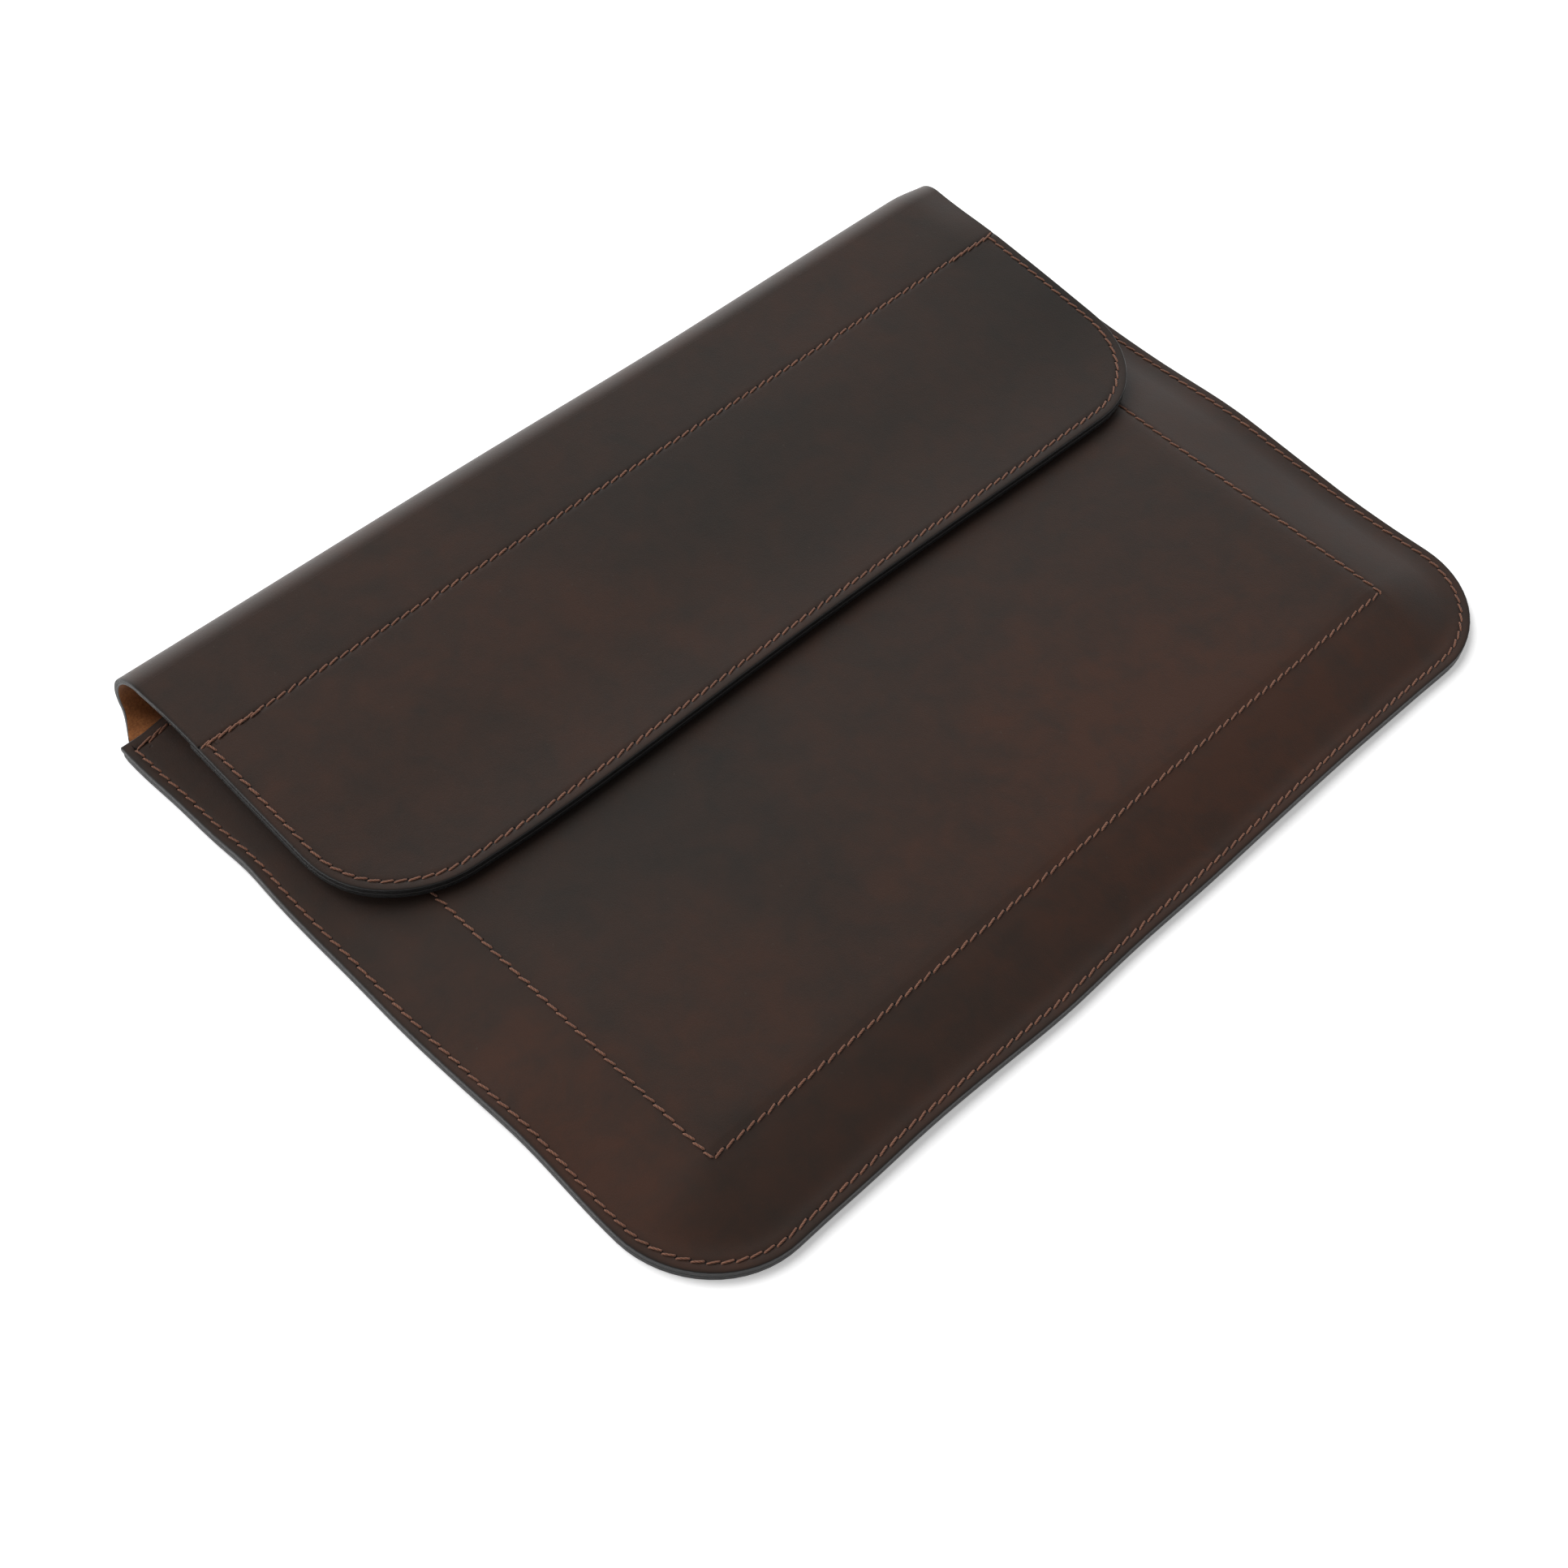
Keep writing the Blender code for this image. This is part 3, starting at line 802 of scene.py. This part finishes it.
def suede_material(name, light, dark, patch=(0.030, 0.013, 0.006, 1.0)):
    """The raw flesh side of the leather: short fibres with dark mottling."""
    n = Nodes(name, 0.95, 0.2)
    flat = n.field("flat", vector=True)
    fibres = n.noise(flat, 1300.0, 4.0, 0.7)
    clumps = n.noise(flat, 260.0, 3.0, 0.6)
    blots = n.noise(flat, 95.0, 3.0, 0.6, 0.6)
    color = n.mix(n.ramp(fibres, 0.3, 0.7), dark, light)
    color = n.mix(n.ramp(clumps, 0.35, 0.75, 0.45, 0.0), color, dark)
    color = n.mix(n.ramp(blots, 0.48, 0.85, 0.0, 0.6), color, patch)
    normal = n.bump(fibres, 0.12)
    normal = n.bump(clumps, 0.10, normal)
    return n.finish(color, None, normal, Sheen_Weight=0.12, Sheen_Roughness=0.6)


def thread_material(name):
    """Reddish-brown twisted thread, with painted shade between its strands."""
    n = Nodes(name, 0.62, 0.35)
    strand, tone = n.field("strand"), n.field("tone")
    place = n.node("ShaderNodeTexCoord").outputs["Object"]
    fibres = n.noise(place, 5200.0, 2.0, 0.6)
    # painted shade: the thread is darker in the valleys between its twisted strands
    color = n.mix(n.ramp(strand, -1.0, 0.6), (0.055, 0.021, 0.013, 1.0), (0.215, 0.098, 0.060, 1.0))
    color = n.mix(n.math("MULTIPLY", tone, 0.4), color, (0.090, 0.036, 0.023, 1.0))
    color = n.mix(n.math("MULTIPLY", fibres, 0.35), color, (0.20, 0.095, 0.06, 1.0))
    return n.finish(color, None, n.bump(fibres, 0.03), Sheen_Weight=0.2, Sheen_Roughness=0.4)


def magnet_material(name):
    """Nickel-plated magnet."""
    n = Nodes(name, 0.3)
    place = n.node("ShaderNodeTexCoord").outputs["Object"]
    grain = n.noise(place, 1800.0, 3.0, 0.6)
    color = n.mix(grain, (0.42, 0.41, 0.39, 1.0), (0.60, 0.59, 0.56, 1.0))
    rough = n.math("ADD", n.math("MULTIPLY", grain, 0.2), 0.22)
    return n.finish(color, rough, n.bump(grain, 0.01), Metallic=1.0)


BROWN = (0.0242, 0.0190, 0.0160, 1.0)
DARK = (0.0198, 0.0163, 0.0140, 1.0)
RED = (0.0430, 0.0200, 0.0132, 1.0)
# where the leather is redder, or less so if the amount is below 0: centre, size and amount
WARM_SPOTS = [((50, 34, FRONT_LAYER), (130, 85, 60), 0.55),
              ((-168, 60, FRONT_LAYER), (38, 90, 60), 0.5),
              ((-90, 120, FRONT_LAYER), (85, 75, 60), -0.22),
              ((25, S_ARC + 60, OUTSIDE_LEVEL), (130, 80, 60), -0.3),
              ((155, S_ARC + 50, OUTSIDE_LEVEL), (60, 75, 60), -0.3),
              ((-150, S_ARC + 55, OUTSIDE_LEVEL), (70, 60, 60), 0.12)]
OUTER = leather_material("outer_leather", BROWN, DARK, RED, 0.43, WARM_SPOTS)
FACING = leather_material("facing_leather", BROWN, DARK, RED, 0.47)
PAINTED_EDGE = edge_material("painted_edge")
SUEDE = suede_material("raw_suede", (0.33, 0.125, 0.038, 1.0), (0.17, 0.058, 0.016, 1.0))
LINING_SUEDE = suede_material("lining_suede", (0.25, 0.13, 0.065, 1.0), (0.13, 0.062, 0.030, 1.0))
THREAD_BROWN = thread_material("thread")
NICKEL = magnet_material("nickel")


# ================================================================ the pieces
def make_outer():
    rows = fill_rows(CORNER_RADIUS + 4, S_BEND - 0.05,
                     [S_MOUTH + d for d in (-3, -1, -0.6, -0.35, -0.1, 0.1, 0.35, 0.6, 0.9, 1.3, 2)])
    rows = rows + [S_BEND]
    pattern = u_pattern(half_width, CORNER_RADIUS, np.array(rows))
    outer = [leather_piece("back_leather", pattern, outer_leather, (SUEDE, OUTER, PAINTED_EDGE),
                           ("perimeter",), rounds=(0.2, 0.42), grooves=(0, 1))]
    for hinge in range(HINGES):
        low = S_BEND + BEND_MIDDLE * FOLD * hinge
        high = low + BEND_MIDDLE * FOLD
        rows = fill_rows(low, high, [low + 0.05, high - 0.05], 0.55)
        outer.append(leather_piece(f"bend_leather_{hinge + 1}", band_pattern(rows), outer_leather,
                                   (SUEDE, OUTER, PAINTED_EDGE)))
    reach = S_FRONT - S_HINGED
    rows = fill_rows(FLAP_RADIUS + 3, reach - 0.05, stitch_rows(S_FRONT - S_CROSS)) + [reach]
    pattern = u_pattern(lambda t: half_width(S_FRONT - t), FLAP_RADIUS, np.array(rows), flip=S_FRONT)
    outer.append(leather_piece("flap_leather", pattern, outer_leather, (SUEDE, OUTER, PAINTED_EDGE),
                               ("flap", "cross"), rounds=(0.2, 0.42), grooves=(0, 1)))
    return outer


def make_facing():
    reach = S_FRONT - S_FACING
    rows = fill_rows(FLAP_RADIUS + 3, reach, stitch_rows(S_FRONT - S_CROSS)[:-3] + edge_rows(reach))
    pattern = u_pattern(lambda t: half_width(S_FRONT - t), FLAP_RADIUS, np.array(rows), flip=S_FRONT,
                        end_cut=False)
    return leather_piece("flap_facing_leather", pattern, flap_facing, (FACING, SUEDE, PAINTED_EDGE),
                         ("flap", "cross"), rounds=(0.42, 0.2), grooves=(1, 0), layer=FACING_LAYER)


def front_columns():
    """Columns of the front panel between its middle and its margin, close together at the lining seam."""
    seam = HALF_WIDTH - LINING_SEAM_SIDE
    wanted = [124, 128, 132, 136, 139] + stitch_rows(seam) + [148, 151.5, 155, 158.5, 162, 165]
    full = HALF_WIDTH - INNER
    return tuple((x - CORE) / (full - CORE) for x in wanted if x < full) + (1.0,)


def make_front():
    rows = fill_rows(CORNER_RADIUS + 0.8, S_MOUTH, stitch_rows(S_MOUTH - MOUTH_SEAM) + edge_rows(S_MOUTH))
    pattern = u_pattern(lambda t: HALF_WIDTH + 0 * np.asarray(t), CORNER_RADIUS, np.array(rows),
                        side=front_columns(), end_cut=False)
    return leather_piece("front_leather", pattern, front_leather, (OUTER, SUEDE, PAINTED_EDGE),
                         ("perimeter", "lining", "mouth"), rounds=(0.42, 0.2), grooves=(1, 0),
                         layer=FRONT_LAYER)


def make_lining():
    pattern = sheet_pattern(HALF_WIDTH - LINING_INSET, LINING_INSET, S_MOUTH - LINING_FROM_MOUTH)
    return leather_piece("front_lining_suede", pattern, lining, (LINING_SUEDE, LINING_SUEDE, LINING_SUEDE),
                         thickness=LINING, rounds=(0.25, 0.25), layer=LINING_LAYER)


def make_threads():
    top = LEATHER / 2
    cross, mouth = SEAMS["cross"], SEAMS["mouth"]
    first_two = (np.arange(2) + 1) * mouth.pitch
    mouth_doubled = np.concatenate([first_two, mouth.along[-1] - first_two])
    pressed_in = 0.9 * GROOVE - 1.75 * THREAD       # underneath, where the sleeve lies on its stitches
    doubled = (np.arange(5) + 1) * cross.pitch      # sewn over twice at both ends of the cross row
    back_stitches = np.concatenate([doubled, cross.along[-1] - doubled])
    perimeter = thread_piece("perimeter_stitches", [
        stitch_tubes(front_leather, SEAMS["perimeter"], 1, top),
        stitch_tubes(outer_leather, SEAMS["perimeter"], -1, top, slant=-0.21, lift=pressed_in),
        stitch_tubes(front_leather, SEAMS["mouth"], 1, top),
        stitch_tubes(front_leather, mouth, 1, top, slant=0.16, starts=mouth_doubled, **SECOND_PASS),
    ], THREAD_BROWN)
    inner = thread_piece("lining_stitches", [
        stitch_tubes(front_leather, SEAMS["lining"], 1, top),
    ], THREAD_BROWN)
    flap = thread_piece("flap_stitches", [
        stitch_tubes(outer_leather, SEAMS["flap"], -1, top, slant=-0.21),
        stitch_tubes(outer_leather, SEAMS["cross"], -1, top, slant=-0.21),
        stitch_tubes(outer_leather, SEAMS["cross"], -1, top, slant=-0.16, starts=back_stitches,
                     **SECOND_PASS),
        stitch_tubes(flap_facing, SEAMS["flap"], 1, top),
        stitch_tubes(flap_facing, SEAMS["cross"], 1, top),
    ], THREAD_BROWN)
    return perimeter, inner, flap


def make_magnets():
    made = []
    for side, name in ((-1, "left"), (1, "right")):
        x = side * MAGNET_X
        s = S_FRONT - MAGNET_FROM_FRONT
        point = outer_leather(x, s, LEATHER / 2 + 0.3)
        disc = magnet_disc(f"flap_magnet_disc_{name}", x, point[1], point[2] - MAGNET_THICKNESS,
                           MAGNET_RADIUS, MAGNET_THICKNESS, NICKEL)
        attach(disc, "flap")
        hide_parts(f"flap_magnet_{name}")
        y = cad(f"front_magnet_{name}", 0, 1) + MAGNET_RADIUS
        point = front_leather(x, y - BOTTOM_Y, -0.5)
        front = magnet_disc(f"front_magnet_disc_{name}", x, y, point[2],
                            MAGNET_RADIUS, MAGNET_THICKNESS, NICKEL)
        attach(front, "sleeve")
        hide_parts(f"front_magnet_{name}")
        made += [disc, front]


def mount(obj, body, slot, *nodes):
    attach(obj, body)
    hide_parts(*nodes)


outer = make_outer()
mount(outer[0], "sleeve", "outer_leather", "back_panel")
mount(outer[-1], "flap", "outer_leather", "flap_panel")
for k in range(HINGES):
    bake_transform(outer[k + 1])
    if k < HINGES - 1:
        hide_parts(f"bend_strip_{k + 1}")
mount(make_facing(), "flap", "facing_leather", "flap_facing")
mount(make_front(), "sleeve", "outer_leather", "front_panel")
mount(make_lining(), "sleeve", "lining_suede", "front_lining")
perimeter, inner, flap = make_threads()
mount(perimeter, "sleeve", "thread", "perimeter_thread")
mount(inner, "sleeve", "thread", "lining_thread")
mount(flap, "flap", "thread", "flap_thread")
make_magnets()


# ================================================================ camera, floor and light
SENSOR, LENS = 36.0, 55.54      # both in millimetres
CAMERA_RIGHT = Vector((0.70339, -0.70620, 0.08078))
CAMERA_UP = Vector((0.53585, 0.60149, 0.59252))
CAMERA_PLACE = Vector((-0.36385, -0.27748, 0.55359))


def make_camera():
    data = bpy.data.cameras.new("camera")
    camera = bpy.data.objects.new("camera", data)
    bpy.context.scene.collection.objects.link(camera)
    data.sensor_width = SENSOR
    data.lens = LENS
    data.clip_start, data.clip_end = 0.05, 20.0
    right, up, back = CAMERA_RIGHT, CAMERA_UP, CAMERA_RIGHT.cross(CAMERA_UP)
    camera.matrix_world = Matrix((
        (right.x, up.x, back.x, CAMERA_PLACE.x),
        (right.y, up.y, back.y, CAMERA_PLACE.y),
        (right.z, up.z, back.z, CAMERA_PLACE.z),
        (0, 0, 0, 1)))
    bpy.context.scene.camera = camera


def make_floor():
    n = Nodes("floor", 0.9, 0.1)
    place = n.node("ShaderNodeTexCoord").outputs["Object"]
    tone = n.noise(place, 6.0, 2.0)
    material = n.finish(n.mix(tone, (0.86, 0.86, 0.86, 1.0), (0.88, 0.88, 0.88, 1.0)),
                        Emission_Color=(1.0, 1.0, 1.0, 1.0), Emission_Strength=FLOOR_GLOW)
    half = 3000
    floor = build_mesh("floor", [(-half, -half, 0), (half, -half, 0), (half, half, 0), (-half, half, 0)],
                       [(0, 1, 2, 3)], [material])


def make_light(name, place, target, size, power):
    data = bpy.data.lights.new(name, "AREA")
    data.shape = "RECTANGLE"
    data.size, data.size_y = size
    data.energy = power
    light = bpy.data.objects.new(name, data)
    bpy.context.scene.collection.objects.link(light)
    light.location = place
    light.rotation_mode = "QUATERNION"
    light.rotation_quaternion = (Vector(target) - Vector(place)).to_track_quat("-Z", "Y")
    light.visible_glossy = False    # the walls make the reflections


BACK_WALL, SIDE_WALLS, CEILING = 1.3, 0.48, 0.06
TOWARDS_BACK = (-0.10, 0.97, 0.05)
FLOOR_GLOW = 0.34
KEY_PLACE, KEY_SIZE, KEY_POWER = (-0.2, 1.0, 1.6), (1.6, 1.4), 38


def make_world():
    """White to the camera. What lights the leather is a bright back wall, dim sides and a dark ceiling."""
    scene = bpy.context.scene
    scene.view_settings.view_transform = "Standard"
    world = bpy.data.worlds.new("studio")
    scene.world = world
    world.use_nodes = True
    tree = world.node_tree
    tree.nodes.clear()

    def node(kind, *values, **settings):
        made = tree.nodes.new(kind)
        for key, value in settings.items():
            setattr(made, key, value)
        for socket, value in zip(made.inputs, values):
            if isinstance(value, bpy.types.NodeSocket):
                tree.links.new(value, socket)
            else:
                socket.default_value = value
        return made.outputs

    def fade(value, low, high, at_low, at_high):
        return node("ShaderNodeMapRange", value, low, high, at_low, at_high,
                    interpolation_type="SMOOTHSTEP")["Result"]

    direction = node("ShaderNodeTexCoord")["Generated"]
    height = node("ShaderNodeSeparateXYZ", direction)["Z"]
    back = node("ShaderNodeVectorMath", direction, TOWARDS_BACK, operation="DOT_PRODUCT")["Value"]
    wall = node("ShaderNodeMath", fade(back, 0.0, 0.8, 0.0, BACK_WALL), fade(height, 0.45, 0.9, 1.0, 0.0),
                operation="MULTIPLY")[0]
    sides = fade(height, 0.3, 0.9, CEILING + SIDE_WALLS, CEILING)
    light = node("ShaderNodeMath", wall, sides, operation="ADD")[0]
    around = node("ShaderNodeBackground", (1.0, 1.0, 1.0, 1.0), light)[0]
    seen = node("ShaderNodeBackground", (1.0, 1.0, 1.0, 1.0), 1.0)[0]
    camera_ray = node("ShaderNodeLightPath")["Is Camera Ray"]
    mixed = node("ShaderNodeMixShader", camera_ray, around, seen)[0]
    node("ShaderNodeOutputWorld", mixed)


make_camera()
make_floor()
make_world()
make_light("key", KEY_PLACE, (0, 0, 0), KEY_SIZE, KEY_POWER)
